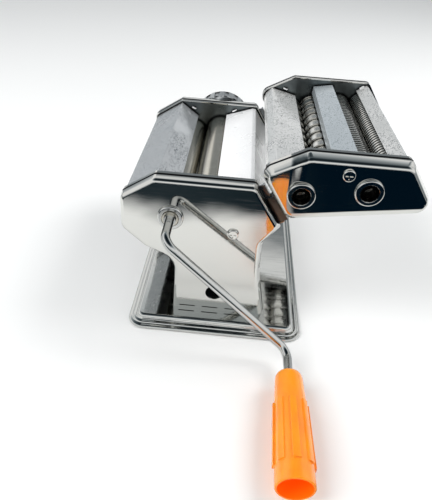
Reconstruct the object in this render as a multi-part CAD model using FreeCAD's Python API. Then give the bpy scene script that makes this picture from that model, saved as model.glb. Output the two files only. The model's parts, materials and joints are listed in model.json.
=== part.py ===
import FreeCAD, Part
import math
import os

# Hand-cranked pasta roller machine with its noodle cutter head hooked on the right-hand slope.
# X runs from the roller hopper towards the cutter head, Y runs along the rollers away from the
# crank, Z is up.  The origin is on the table, under the middle of the base.  Millimetres.

V = FreeCAD.Vector

# ---- base ------------------------------------------------------------------------------------
base_width = 142.0          # across X
base_margin = 20.3          # the base reaches this far past each side cover along Y
base_corner_r = 13.0
base_lift = 0.6             # steel rim above the table, carried by the rubber feet
base_rim_top = 4.8
base_top = 9.0
base_step = 7.5             # the raised panel is this much inside the rim
base_wall = 1.0
rim_edge_r = 2.0
panel_edge_r = 2.4
foot_pad_r = 8.0
foot_pad_inset = 20.0
foot_tab_length = 14.0      # the side plate's tab that is screwed down on the base
foot_tab_inset = 8.0        # from the foot's edges to the tab, and from the plate to the screws

# ---- roller frame ----------------------------------------------------------------------------
plate_inner = 75.4          # half distance between the inner faces of the two side plates
plate_wall = 1.2
flange_depth = 6.6          # how far the side plate's flange is turned outwards
flange_wall = 1.0
cover_gap = 0.3             # air between a flange's edge and the slanted part of its cover
cover_depth = 7.4           # from the end of the cover's straight skirt to its polished face
skirt_start = 0.4           # the skirt begins this far outside the plate's inner face
skirt_air = 0.1             # between a plate's flange and the skirt that slips over it
sheet = 0.8                 # cover and hopper sheet thickness
cover_edge_r = 3.0          # rolled edge of the cover's face
seat = 0.02                 # air between parts that sit on each other
screw_air = 0.1             # radial air round a screw

top_z = 126.0
top_left_x = -51.3
top_right_x = 21.5
left_x = -76.5
left_high_z = top_z - 16.5
left_low_z = top_z - 44.0
belly_x = -58.5             # where the left overhang turns down to the foot
belly_z = top_z - 59.0
slope_end_x = 43.3
slope_end_z = top_z - 33.8
waist_x = 31.0
waist_z = top_z - 49.9
calf_x = 32.4
calf_z = top_z - 80.0
instep_z = top_z - 69.5
foot_z = base_top - 5.0     # the outlines run on below the base's top and are cut off there
foot_left_x = -36.1
foot_right_x = 40.5
top_draft = 3.3             # the cover's face is this much lower than its back edge
sheet_drop = 2.0            # the hopper sheets lie this far below the covers' rims

# ---- rollers ---------------------------------------------------------------------------------
roller_r = 13.0
roller_gap = 1.4            # between the smooth rollers as the machine stands
fixed_x = -38.8
fixed_z = top_z - 30.1
centre_line_deg = 10.5      # rise of the line from the fixed to the movable roller
roller_end_gap = 0.8        # from a roller's end face to the side plate
roller_chamfer = 0.6
shaft_r = 6.0
run_fit = 0.06              # radial clearance of a turning shaft in its bush
bush_r = shaft_r + 3.0
bush_length = 3.0
bush_lip = 0.4              # a bush stands this much inside its plate
barrel_r = bush_r - 1.0     # barrel of a socket bush in a cover
barrel_length = 2.4
carriage_close = 1.1        # how far the movable roller closes in
carriage_open = 1.4         # and how far it opens
socket_r = 0.75 * shaft_r   # hollow end of a driven shaft
socket_depth = 20.0
slot_width = 2.2            # driving slot across the hollow end
slot_depth = 6.0
socket_flange_r = bush_r + 0.7
socket_flange = 2.2
socket_reach = 0.6          # the shaft ends this far outside its bush
flange_edge_r = 1.2
blade = 0.5                 # scraper thickness
scraper_deg = 24.0          # where the blade meets its roller, from straight below

# ---- gears -----------------------------------------------------------------------------------
gear_teeth = 14
gear_width = 6.0
gear_start = 1.6            # gear face outside the side plate
head_gear_start = 2.4
roller_tooth = 2.0          # tooth height above the pitch circle
cutter_tooth = 1.5
tooth_clearance = 1.3       # extra depth of the tooth spaces
root_share = 0.29           # half width of a tooth at root and tip, in tooth steps
tip_share = 0.085

# ---- crank -----------------------------------------------------------------------------------
rod_r = 3.2
rod_bend_r = 10.0
crank_tip_r = socket_r - 0.08
crank_tip_length = 17.0
crank_key_length = 5.0
crank_reach = 32.3          # from the side cover to where shaft and arm centre lines meet
crank_lean = 10.0           # the arm runs this far outwards on its way down
crank_end_x = 57.0
crank_end_z = 14.0
grip_stand_off = 24.0
grip_length = 86.0
grip_small_r = 10.2
grip_large_r = 12.0
grip_wall = 1.8
grip_bore_r = rod_r + 0.08
grip_core_r = rod_r + 2.0
grip_solid = 13.0           # solid end of the grip next to the arm
grip_open = 24.0            # open end, where the bar's head sits inside
washer_thickness = 1.2

# ---- thickness dial --------------------------------------------------------------------------
dial_r = 27.5
dial_thickness = 13.0
dial_gap = 2.5              # from the side cover to the dial's back
dial_edge_r = 2.2
dial_rim = 2.4
dial_hub_r = 9.0
dial_hollow = 7.0
dial_shaft_r = 5.0
drive_half = 2.6            # half width of the square the knob slides on
index_plate_r = 20.0
index_plate_thick = 1.0
index_steps = 9
index_step_deg = 30.0
index_ring_r = 17.0
dimple_r = 1.4

# ---- cutter head -----------------------------------------------------------------------------
head_side_step = 4.0        # the cutter head's plates stand this much outside the frame's
head_flange_depth = 7.1
head_cover_depth = 8.3
head_top_z = top_z + 29.5
head_top_left_x = 53.7
head_top_right_x = 122.9
head_left_z = head_top_z - 16.9
head_low_x = 44.1
head_low_z = head_top_z - 51.2
head_right_x = 140.6
head_right_high_z = head_top_z - 25.5
head_right_low_z = head_top_z - 36.4
head_inset = 4.6
head_face_corner_r = 5.0    # corners of the cover's flat face
wide_x = 52.0
wide_z = head_top_z - 29.2
fine_x = 97.1
fine_z = head_top_z - 22.2
cutter_line_deg = 8.8
cutter_spacing = 20.6
wide_disc_r = cutter_spacing / 2 + 0.6
fine_disc_r = cutter_spacing / 2 + 0.3
disc_gap = 0.4              # radial air between a disc and the other cutter's groove
side_gap = 0.3              # side air between neighbouring discs
end_land = 0.6              # plain end of a cutter, outside its last disc
wide_pitch = 14.0           # two noodle widths
fine_pitch = 4.0
comb_depth = 3.5            # solid back of a stripper comb, behind its teeth
comb_deg = 35.0             # where a comb stands under its cutter
comb_air = 0.6
cutter_shaft_r = 5.0
cutter_bush_r = shaft_r + 2.0
head_socket_flange_r = bush_r + 0.9

# ---- rail between frame and cutter head -------------------------------------------------------
rail_out = 3.4              # middle of the rail outside the plate's inner face
rail_stem = 1.5
rail_head = 4.0
rail_head_thick = 1.4
rail_height = 4.0
rail_start = 3.0
rail_length = 33.0
rail_stop = 1.5
hook_length = 22.0
hook_wall = 1.4
hook_gap = 0.35
hook_base = 0.9             # the hook's inner end above the slope

# ---- screws and rods --------------------------------------------------------------------------
tie_rod_r = 3.6
tie_rod_drill = 14.0
screw_r = 2.0
screw_head_r = 4.4
screw_head_h = 1.8
screw_head_edge_r = 1.0
recess_depth = 0.9          # cross recess in a screw head
recess_half = 2.6
recess_width = 0.9
inner_screw_length = 8.0
screw_bite = 10.0           # a cover screw goes this far into its tie rod
base_screw_length = 5.5
clamp_hole_r = 6.8
clamp_hole_x = -2.5
clamp_hole_z = 27.7
head_screw_x = 81.0
head_screw_z = head_top_z - 10.8

# ---- derived places ---------------------------------------------------------------------------
line_x = math.cos(math.radians(centre_line_deg))
line_z = math.sin(math.radians(centre_line_deg))
roller_spacing = 2 * roller_r + roller_gap
movable_x = fixed_x + roller_spacing * line_x
movable_z = fixed_z + roller_spacing * line_z
cover_screw_x = movable_x + 20.06
cover_screw_z = movable_z - 14.69
cutter_dx = cutter_spacing * math.cos(math.radians(cutter_line_deg))
cutter_dz = cutter_spacing * math.sin(math.radians(cutter_line_deg))
flange_edge = plate_inner + flange_depth
cover_face = flange_edge + cover_gap + cover_depth
head_plate_inner = plate_inner + head_side_step
head_flange_edge = head_plate_inner + head_flange_depth
head_cover_face = head_flange_edge + cover_gap + head_cover_depth
base_length = 2 * (cover_face + base_margin)
rail_y = plate_inner + rail_out
roller_end = plate_inner - roller_end_gap
head_roller_end = head_plate_inner - roller_end_gap
slope_length = math.hypot(slope_end_x - top_right_x, top_z - slope_end_z)
up_x = (top_right_x - slope_end_x) / slope_length
up_z = (top_z - slope_end_z) / slope_length
out_x = up_z
out_z = -up_x
socket_mouth = -cover_face - socket_flange - socket_reach
head_socket_mouth = -head_cover_face - socket_flange - socket_reach
crank_turn_y = -cover_face - crank_reach
crank_end_y = crank_turn_y - crank_lean
grip_start_y = crank_end_y - grip_stand_off
grip_end_y = grip_start_y - grip_length
dial_face = cover_face + dial_gap
head_left_x = head_low_x + up_x / up_z * (head_left_z - head_low_z)

os.makedirs("parts", exist_ok=True)


# ---- shared shape helpers ---------------------------------------------------------------------
def save(shape, node):
    shape.exportStep("parts/" + node + ".step")


def outline(corners, y):
    """Closed wire at height y along the roller axis, its corners (x, z, radius) rounded."""
    edges = []
    count = len(corners)
    starts = []
    ends = []
    middles = []
    for i in range(count):
        before = V(corners[i - 1][0], y, corners[i - 1][1])
        here = V(corners[i][0], y, corners[i][1])
        after = V(corners[(i + 1) % count][0], y, corners[(i + 1) % count][1])
        radius = corners[i][2]
        a = (before - here).normalize()
        b = (after - here).normalize()
        half = a.getAngle(b) / 2
        run = radius / math.tan(half)
        starts.append(here + a * run)
        ends.append(here + b * run)
        bisector = (a + b).normalize()
        middles.append(here + bisector * (radius / math.sin(half) - radius))
    for i in range(count):
        edges.append(Part.Arc(starts[i], middles[i], ends[i]).toShape())
        edges.append(Part.LineSegment(ends[i], starts[(i + 1) % count]).toShape())
    return Part.Wire(edges)


def inset(corners, distance):
    """The same corners moved inwards by distance, for a clockwise outline seen from the crank."""
    count = len(corners)
    lines = []
    for i in range(count):
        x0, z0 = corners[i][0], corners[i][1]
        x1, z1 = corners[(i + 1) % count][0], corners[(i + 1) % count][1]
        length = math.hypot(x1 - x0, z1 - z0)
        nx = (z1 - z0) / length
        nz = -(x1 - x0) / length
        lines.append((nx, nz, nx * x0 + nz * z0 + distance))
    moved = []
    for i in range(count):
        ax, az, ac = lines[i - 1]
        bx, bz, bc = lines[i]
        cross = ax * bz - az * bx
        before = corners[i - 1]
        here = corners[i]
        after = corners[(i + 1) % count]
        turn = (here[0] - before[0]) * (after[1] - here[1]) - (here[1] - before[1]) * (after[0] - here[0])
        radius = here[2] - distance if turn < 0 else here[2] + distance
        x = (ac * bz - az * bc) / cross
        z = (ax * bc - ac * bx) / cross
        moved.append((x, z, max(radius, 0.5)))
    return moved


def prism(corners, y0, y1):
    return Part.Face(outline(corners, y0)).extrude(V(0, y1 - y0, 0))


def drafted_block(back_corners, front_corners, skirt_y, back_y, face_y, edge_r):
    """Straight skirt, then a slant to the smaller face outline, with a rolled front edge."""
    sections = [outline(back_corners, skirt_y), outline(back_corners, back_y)]
    for angle in (0, 22.5, 45, 67.5, 90):
        out = edge_r * math.cos(math.radians(angle))
        y = face_y + edge_r * (1 - math.sin(math.radians(angle)))
        sections.append(outline(inset(front_corners, -out), y))
    return Part.makeLoft(sections, True, True)


def rod(x, z, radius, y0, y1):
    """Round bar along Y."""
    low = min(y0, y1)
    return Part.makeCylinder(radius, abs(y1 - y0), V(x, low, z), V(0, 1, 0))


def tube(x, z, outer, inner, y0, y1):
    return rod(x, z, outer, y0, y1).cut(rod(x, z, inner, min(y0, y1) - 1, max(y0, y1) + 1))


def box(x0, x1, y0, y1, z0, z1):
    return Part.makeBox(x1 - x0, y1 - y0, z1 - z0, V(x0, y0, z0))


def mirror_y(shape):
    return shape.mirror(V(0, 0, 0), V(0, 1, 0))


def both_sides(shape):
    return Part.makeCompound([shape, mirror_y(shape)])


def group(solids):
    return Part.makeCompound(solids)


def bent_sheet(points, thickness, half_length):
    """Sheet folded along Y: points are its outer side, the metal lies to the right of the path."""
    inner = []
    count = len(points)
    for i in range(count):
        normals = []
        for j in (i - 1, i):
            if 0 <= j < count - 1:
                dx = points[j + 1][0] - points[j][0]
                dz = points[j + 1][1] - points[j][1]
                length = math.hypot(dx, dz)
                normals.append((dz / length, -dx / length))
        nx = sum(n[0] for n in normals)
        nz = sum(n[1] for n in normals)
        scale = thickness * len(normals) / (nx * nx + nz * nz)
        inner.append((points[i][0] + nx * scale, points[i][1] + nz * scale))
    path = points + list(reversed(inner))
    ring = [V(x, -half_length, z) for x, z in path]
    return Part.Face(Part.makePolygon(ring + [ring[0]])).extrude(V(0, 2 * half_length, 0))


def gear(x, z, pitch_r, tall, face_y, width, phase_deg, bore_r):
    """Spur gear with tall, slim teeth, so it stays in mesh while the rollers open and close."""
    tip_r = pitch_r + tall
    root_r = pitch_r - tall - tooth_clearance
    step = 2 * math.pi / gear_teeth
    tooth = ((root_r, -root_share), (tip_r, -tip_share), (tip_r, tip_share), (root_r, root_share))
    points = []
    for i in range(gear_teeth):
        middle = math.radians(phase_deg) + i * step
        for radius, share in tooth:
            angle = middle + share * step
            points.append(V(x + radius * math.cos(angle), face_y, z + radius * math.sin(angle)))
    blank = Part.Face(Part.makePolygon(points + [points[0]])).extrude(V(0, width, 0))
    return blank.cut(rod(x, z, bore_r, face_y - 1, face_y + width + 1))


def slotted_socket(x, z, face_y):
    """The space inside a driven shaft's end: a round hole with a driving slot across its mouth."""
    hole = rod(x, z, socket_r, face_y - 1, face_y + socket_depth)
    slot = box(x - slot_width / 2, x + slot_width / 2, face_y - 1, face_y + slot_depth, z - shaft_r - 1, z)
    return hole.fuse(slot)


def pan_head(x, z, face_y, length, outward):
    """Screw with a low round head, its shank running inwards from face_y."""
    head = rod(x, z, screw_head_r, face_y, face_y + outward * screw_head_h)
    rim = [e for e in head.Edges if abs(e.BoundBox.YMin - (face_y + outward * screw_head_h)) < 0.01
           and e.BoundBox.YLength < 0.01]
    head = head.makeFillet(screw_head_edge_r, rim)
    shank = rod(x, z, screw_r, face_y - outward * length, face_y)
    y_top = face_y + outward * screw_head_h
    y0 = min(y_top, y_top - outward * recess_depth)
    y1 = y0 + recess_depth
    thin = recess_width / 2
    across = box(x - recess_half, x + recess_half, y0, y1, z - thin, z + thin)
    upright = box(x - thin, x + thin, y0, y1, z - recess_half, z + recess_half)
    return head.fuse(shank).cut(across.fuse(upright))


# ---- outlines ---------------------------------------------------------------------------------
frame_corners = [
    (top_left_x, top_z, 4.0), (top_right_x, top_z, 4.0), (slope_end_x, slope_end_z, 2.0),
    (waist_x, waist_z, 10.0), (calf_x, calf_z, 120.0), (foot_right_x, foot_z, 0.5),
    (foot_left_x, foot_z, 0.5), (foot_left_x + 0.8, instep_z, 18.0), (belly_x, belly_z, 5.0),
    (left_x, left_low_z, 6.0), (left_x, left_high_z, 4.0)]
frame_front = [
    (top_left_x + 0.9, top_z - top_draft, 3.0), (top_right_x - 1.7, top_z - top_draft, 3.0),
    (slope_end_x - 5.6, slope_end_z + 2.6, 2.0), (waist_x - 4.8, waist_z + 3.7, 12.0),
    (calf_x - 5.0, calf_z, 120.0), (foot_right_x - 4.2, foot_z, 0.5), (foot_left_x + 3.6, foot_z, 0.5),
    (foot_left_x + 4.7, instep_z + 2.0, 20.0), (belly_x + 1.3, belly_z + 3.0, 5.0),
    (left_x + top_draft, left_low_z + 2.2, 5.0), (left_x + top_draft, left_high_z - 1.6, 3.0)]
plate_corners = inset(frame_corners, sheet + skirt_air)
head_corners = [
    (head_top_left_x, head_top_z, 5.0), (head_top_right_x, head_top_z, 5.0),
    (head_right_x, head_right_high_z, 7.0), (head_right_x, head_right_low_z, 5.5),
    (head_low_x, head_low_z, 6.5), (head_left_x, head_left_z, 8.0)]
head_front = [(x, z, max(r, head_face_corner_r)) for x, z, r in inset(head_corners, head_inset)]
head_plate_corners = inset(head_corners, sheet + skirt_air)


# ---- base -------------------------------------------------------------------------------------
def slab(width, length, radius, z0, z1, edge_r):
    block = box(-width / 2, width / 2, -length / 2, length / 2, z0, z1)
    upright = [e for e in block.Edges if e.BoundBox.ZLength > 0.5 * (z1 - z0)]
    block = block.makeFillet(radius, upright)
    rim = [e for e in block.Edges if e.BoundBox.ZMin > z1 - 0.01]
    return block.makeFillet(edge_r, rim)


def pressed_base(shrink, drop):
    """Stepped pan outline; drop lowers its top and its bottom, for the hollow underneath."""
    bottom = base_lift - drop
    rim = slab(base_width - 2 * shrink, base_length - 2 * shrink, base_corner_r - shrink,
               bottom, base_rim_top - drop, rim_edge_r - 0.5 * drop)
    panel = slab(base_width - 2 * base_step - 2 * shrink, base_length - 2 * base_step - 2 * shrink,
                 base_corner_r - 4.0 - shrink, bottom, base_top - drop, panel_edge_r - 0.5 * drop)
    return rim.fuse(panel)


foot_screw_places = [(sx, sy * (plate_inner - foot_tab_inset)) for sx in (-22.0, 24.0) for sy in (-1, 1)]


def base_plate():
    shell = pressed_base(0.0, 0.0).cut(pressed_base(base_wall, base_wall))
    for x, y in foot_screw_places:
        shell = shell.cut(Part.makeCylinder(screw_r + screw_air, 2 * base_top, V(x, y, 0)))
    return shell


def base_feet():
    """Four rubber pads with a stem up to the underside of the rim, the lowest faces of the machine."""
    pads = []
    for sx in (-1, 1):
        for sy in (-1, 1):
            x = sx * (base_width / 2 - foot_pad_inset)
            y = sy * (base_length / 2 - foot_pad_inset)
            pads.append(Part.makeCylinder(foot_pad_r, base_top - base_wall - seat, V(x, y, 0)))
    return group(pads)


def base_screws():
    """Four screws from below that hold the side plates' foot tabs to the base."""
    screws = []
    underside = base_top - base_wall - seat
    for x, y in foot_screw_places:
        head = Part.makeCylinder(screw_head_r, screw_head_h, V(x, y, underside - screw_head_h))
        shank = Part.makeCylinder(screw_r, base_screw_length, V(x, y, underside))
        screws.append(head.fuse(shank))
    return group(screws)


# ---- roller frame -----------------------------------------------------------------------------
rod_places = [(cover_screw_x, cover_screw_z), (left_x + 14.5, left_low_z + 2.0), (2.0, top_z - 74.0)]


def below_base_top(face_y):
    """Everything under the base's top, to cut a plate or cover off level with it."""
    return box(-base_width / 2, base_width / 2, face_y - 1, 0, 0, base_top + seat)


def side_plate(with_clamp_hole):
    """Inner steel plate, drawn for the crank side: flat web, flange turned outwards, foot tab inwards."""
    body = prism(plate_corners, -flange_edge, -plate_inner)
    hollow = prism(inset(plate_corners, flange_wall), -flange_edge - 1, -plate_inner - plate_wall)
    z0 = base_top + seat
    plate = body.cut(hollow).cut(below_base_top(-flange_edge))
    tab = box(foot_left_x + foot_tab_inset, foot_right_x - foot_tab_inset,
              -plate_inner - 0.5 * plate_wall, -plate_inner + foot_tab_length, z0, z0 + plate_wall)
    plate = plate.fuse(tab)
    for x, y in foot_screw_places:
        if y < 0:
            plate = plate.cut(Part.makeCylinder(screw_r + screw_air, 2 * base_top, V(x, y, 0)))
    plate = plate.cut(rod(fixed_x, fixed_z, bush_r + seat, -flange_edge, 0))
    travel = max(carriage_close, carriage_open) + cover_gap
    plate = plate.cut(rod(movable_x, movable_z, bush_r + travel, -flange_edge, 0))
    if with_clamp_hole:
        plate = plate.cut(rod(clamp_hole_x, clamp_hole_z, clamp_hole_r, -flange_edge, 0))
    for x, z in rod_places:
        plate = plate.cut(rod(x, z, screw_r + screw_air, -flange_edge, 0))
    return plate


def side_cover(with_socket):
    """Polished pressed cover on the crank side: its skirt slips over the side plate's flange."""
    skirt_y = -plate_inner - skirt_start
    back_y = -flange_edge - cover_gap
    outer = drafted_block(frame_corners, frame_front, skirt_y, back_y, -cover_face, cover_edge_r)
    inner = drafted_block(inset(frame_corners, sheet), inset(frame_front, sheet), skirt_y + 1.0, back_y,
                          -cover_face + sheet, cover_edge_r - sheet)
    cover = outer.cut(inner)
    cover = cover.cut(rod(cover_screw_x, cover_screw_z, screw_r + screw_air, -cover_face - 1, 0))
    cover = cover.cut(below_base_top(-cover_face))
    if with_socket:
        cover = cover.cut(rod(fixed_x, fixed_z, barrel_r + seat, -cover_face - 1, 0))
        cover = cover.cut(rod(clamp_hole_x, clamp_hole_z, clamp_hole_r, -cover_face - 1, 0))
    else:
        cover = cover.cut(rod(movable_x, movable_z, dial_shaft_r + 1.0, -cover_face - 1, 0))
    return cover


def roller_bushes():
    return both_sides(tube(fixed_x, fixed_z, bush_r, shaft_r + run_fit, -plate_inner + bush_lip,
                           -plate_inner + bush_lip - bush_length))


def crank_socket_bush():
    """Bush in the crank side cover that the slotted shaft end turns in."""
    flange = tube(fixed_x, fixed_z, socket_flange_r, shaft_r + run_fit,
                  -cover_face - socket_flange, -cover_face - seat)
    barrel = tube(fixed_x, fixed_z, barrel_r, shaft_r + run_fit,
                  -cover_face - 2 * seat, -cover_face + barrel_length)
    bush = flange.fuse(barrel)
    rim = [e for e in bush.Edges if e.BoundBox.YMax < -cover_face - socket_flange + 0.01
           and e.BoundBox.XLength > 2 * socket_flange_r - 0.1]
    return bush.makeFillet(flange_edge_r, rim)


def tie_rods():
    """Spacer rods between the side plates, drilled at the ends for their screws."""
    rods = []
    for x, z in rod_places:
        bar = rod(x, z, tie_rod_r, -plate_inner + seat, plate_inner - seat)
        bar = bar.cut(both_sides(rod(x, z, screw_r + seat, -plate_inner - 1, -plate_inner + tie_rod_drill)))
        rods.append(bar)
    return group(rods)


def cover_screws():
    length = cover_face - plate_inner + screw_bite
    near = pan_head(cover_screw_x, cover_screw_z, -cover_face - seat, length, -1)
    return both_sides(near)


def frame_screws():
    """Screws into the hidden tie rods, inside the covers."""
    screws = []
    for x, z in rod_places[1:]:
        near = pan_head(x, z, -plate_inner - plate_wall - seat, inner_screw_length, -1)
        screws += [near, mirror_y(near)]
    return group(screws)


def left_hopper_sheet():
    """Sheet that wraps the left side and turns over into the hopper beside the fixed roller."""
    skin = inset(frame_corners, sheet_drop)
    belly = (belly_x, belly_z + 1.4)
    low = (fixed_x + 4.5, fixed_z + roller_r + 3.4)
    path = [belly, skin[9][:2], skin[10][:2], skin[0][:2], low]
    return bent_sheet(path, sheet, plate_inner - seat)


def right_hopper_sheet():
    """Flat sheet down to the movable roller, folded over at the top and down the slope."""
    skin = inset(frame_corners, sheet_drop)
    low = (movable_x + 4.4, movable_z + roller_r + 1.6)
    crest = (skin[1][0] - 3.0, skin[1][1])
    fold = (skin[1][0], skin[1][1] - 0.4)
    slope_foot = (skin[2][0] - 0.6, skin[2][1] + 1.2)
    waist = (skin[3][0], skin[3][1] + 2.0)
    return bent_sheet([low, crest, fold, slope_foot, waist], sheet, plate_inner - seat)


def scraper(x, z, lean):
    """Spring steel wiper blade under a roller, its edge just off the polished surface."""
    reach = roller_r + blade
    edge_x = x + lean * reach * math.sin(math.radians(scraper_deg))
    edge_z = z - reach * math.cos(math.radians(scraper_deg))
    back_x = edge_x - lean * 2.2
    path = [(edge_x, edge_z), (back_x, edge_z - 5.0), (back_x, edge_z - 11.0)]
    if lean > 0:
        path = list(reversed(path))
    return bent_sheet(path, blade, roller_end)


# ---- rollers ----------------------------------------------------------------------------------
def smooth_roller(x, z, near_end, far_end):
    barrel = rod(x, z, roller_r, -roller_end, roller_end)
    barrel = barrel.makeChamfer(roller_chamfer, [e for e in barrel.Edges if e.BoundBox.YLength < 0.01])
    return barrel.fuse(rod(x, z, shaft_r, near_end, far_end))


def fixed_roller():
    turned = smooth_roller(fixed_x, fixed_z, socket_mouth, plate_inner + bush_length + 2.0)
    return turned.cut(slotted_socket(fixed_x, fixed_z, socket_mouth))


def movable_roller():
    near_end = -plate_inner - plate_wall - gear_start - gear_width - 0.7
    return smooth_roller(movable_x, movable_z, near_end, plate_inner + bush_length + 1.0)


def roller_gear(x, z, phase):
    y = -plate_inner - plate_wall - gear_start - gear_width
    pitch_r = roller_spacing / 2
    return gear(x, z, pitch_r, roller_tooth, y, gear_width, phase, shaft_r + seat)


def eccentric_bushes():
    """The movable roller's bushes, carried together by the thickness dial."""
    return both_sides(tube(movable_x, movable_z, bush_r, shaft_r + run_fit, -plate_inner + bush_lip,
                           -plate_inner + bush_lip - bush_length))


def adjuster_yoke():
    """Flat arm on the dial side that the dial's cam moves, sitting on the eccentric bush's end."""
    y0 = plate_inner - bush_lip + bush_length + seat
    return tube(movable_x, movable_z, bush_r, shaft_r + cover_gap, y0, y0 + plate_wall)


# ---- crank ------------------------------------------------------------------------------------
def bent_bar(points, radius, bend_r):
    """Round bar through straight runs with tangent bends, in one smooth sweep."""
    edges = []
    start = points[0]
    for i in range(1, len(points) - 1):
        a = (points[i - 1] - points[i]).normalize()
        b = (points[i + 1] - points[i]).normalize()
        half = a.getAngle(b) / 2
        run = bend_r / math.tan(half)
        into = points[i] + a * run
        leave = points[i] + b * run
        middle = points[i] + (a + b).normalize() * (bend_r / math.sin(half) - bend_r)
        edges.append(Part.LineSegment(start, into).toShape())
        edges.append(Part.Arc(into, middle, leave).toShape())
        start = leave
    edges.append(Part.LineSegment(start, points[-1]).toShape())
    path = Part.Wire(edges)
    direction = (points[1] - points[0]).normalize()
    ring = Part.Wire([Part.makeCircle(radius, points[0], direction)])
    return path.makePipeShell([ring], True, False)


def crank_rod():
    """Round bar from the drive tip with its key, down the arm and through the grip."""
    tip_start = socket_mouth - 2.0
    bar_end = grip_end_y + grip_open - 2.0
    points = [V(fixed_x, tip_start, fixed_z), V(fixed_x, crank_turn_y, fixed_z),
              V(crank_end_x, crank_end_y, crank_end_z), V(crank_end_x, bar_end, crank_end_z)]
    bar = bent_bar(points, rod_r, rod_bend_r)
    tip = rod(fixed_x, fixed_z, crank_tip_r, tip_start, socket_mouth + crank_tip_length)
    key_half = slot_width / 2 - 0.1
    key = box(fixed_x - key_half, fixed_x + key_half, tip_start, socket_mouth + crank_key_length,
              fixed_z - shaft_r + 0.2, fixed_z)
    return bar.fuse(tip).fuse(key)


def grip_profile():
    """Half section of the grip from its domed arm end to its open end: (radius, y)."""
    return [(0.0, grip_start_y), (grip_core_r - 0.6, grip_start_y), (grip_small_r - 1.8, grip_start_y - 1.8),
            (grip_small_r, grip_start_y - 6.0), (grip_large_r, grip_end_y), (0.0, grip_end_y)]


def grip_hollow():
    """Half section of the space between the grip's wall and its core."""
    start = grip_start_y - grip_solid
    end = grip_end_y - 1.0
    return [(grip_core_r, start), (grip_small_r - grip_wall, start), (grip_large_r - grip_wall, end),
            (grip_core_r, end)]


def turned_y(profile, x, z):
    ring = [V(x + r, y, z) for r, y in profile]
    return Part.Face(Part.makePolygon(ring + [ring[0]])).revolve(V(x, 0, z), V(0, 1, 0), 360)


def crank_grip():
    body = turned_y(grip_profile(), crank_end_x, crank_end_z)
    body = body.cut(turned_y(grip_hollow(), crank_end_x, crank_end_z))
    body = body.cut(rod(crank_end_x, crank_end_z, grip_bore_r, grip_end_y - 1, grip_start_y + 1))
    return body.cut(rod(crank_end_x, crank_end_z, grip_core_r + 1.5, grip_end_y - 1, grip_end_y + grip_open))


def grip_washer():
    y = grip_end_y + grip_open - 0.4
    return tube(crank_end_x, crank_end_z, grip_core_r, rod_r + seat, y - washer_thickness, y)


# ---- thickness dial ---------------------------------------------------------------------------
def dial_shaft():
    """Dial spindle: a collar inside the cover, a square drive outside that the knob slides on."""
    x, z = movable_x, movable_z
    spindle = rod(x, z, dial_shaft_r, plate_inner + 8.4, dial_face + 2.0)
    collar_y = cover_face - sheet - cover_gap
    collar = rod(x, z, dial_shaft_r + 3.0, collar_y - 2.7, collar_y)
    drive = box(x - drive_half, x + drive_half, dial_face + 1.0, dial_face + dial_thickness - 2.0,
                z - drive_half, z + drive_half)
    return spindle.fuse(collar).fuse(drive)


def index_plate():
    """Thin ring on the cover behind the dial, with a dimple for every thickness step."""
    front = cover_face + index_plate_thick
    ring = tube(movable_x, movable_z, index_plate_r, dial_shaft_r + 1.5, cover_face + seat, front)
    for step in range(index_steps):
        angle = math.radians(index_step_deg * (step - (index_steps - 1) / 2))
        dimple_x = movable_x + index_ring_r * math.sin(angle)
        dimple_z = movable_z + index_ring_r * math.cos(angle)
        ring = ring.cut(rod(dimple_x, dimple_z, dimple_r, front - 0.5, front + 1.0))
    return ring


def thickness_dial():
    """Round knob, hollow behind, with a square hole for the spindle."""
    x, z = movable_x, movable_z
    front = dial_face + dial_thickness
    knob = rod(x, z, dial_r, dial_face, front)
    knob = knob.makeFillet(dial_edge_r, [e for e in knob.Edges if e.BoundBox.YMin > front - 0.01])
    knob = knob.cut(tube(x, z, dial_r - dial_rim, dial_hub_r, dial_face - 1.0, dial_face + dial_hollow))
    half = drive_half + 0.08
    knob = knob.cut(box(x - half, x + half, dial_face - 1, front - 1.6, z - half, z + half))
    return knob.cut(rod(x, z, dial_shaft_r + cover_gap, dial_face - 1, dial_face + 2.3))


# ---- cutter head ------------------------------------------------------------------------------
cutters = [("wide", wide_x, wide_z), ("fine", fine_x, fine_z)]
head_rods = [(head_screw_x, head_screw_z), (fine_x - 10.9, fine_z - 15.5)]


def head_plate():
    body = prism(head_plate_corners, -head_flange_edge, -head_plate_inner)
    inner_corners = inset(head_plate_corners, flange_wall)
    hollow = prism(inner_corners, -head_flange_edge - 1, -head_plate_inner - plate_wall)
    plate = body.cut(hollow)
    for name, x, z in cutters:
        for k in (0, 1):
            hole_x = x + k * cutter_dx
            hole_z = z + k * cutter_dz
            plate = plate.cut(rod(hole_x, hole_z, cutter_bush_r + seat, -head_flange_edge, 0))
    for x, z in head_rods:
        plate = plate.cut(rod(x, z, screw_r + screw_air, -head_flange_edge, 0))
    return plate


def head_cover(with_sockets):
    skirt_y = -head_plate_inner - skirt_start
    back_y = -head_flange_edge - cover_gap
    outer = drafted_block(head_corners, head_front, skirt_y, back_y, -head_cover_face, cover_edge_r)
    inner = drafted_block(inset(head_corners, sheet), inset(head_front, sheet), skirt_y + 1.0, back_y,
                          -head_cover_face + sheet, cover_edge_r - sheet)
    cover = outer.cut(inner)
    cover = cover.cut(rod(head_screw_x, head_screw_z, screw_r + screw_air, -head_cover_face - 1, 0))
    if with_sockets:
        for name, x, z in cutters:
            cover = cover.cut(rod(x, z, barrel_r + seat, -head_cover_face - 1, 0))
    return cover


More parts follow.
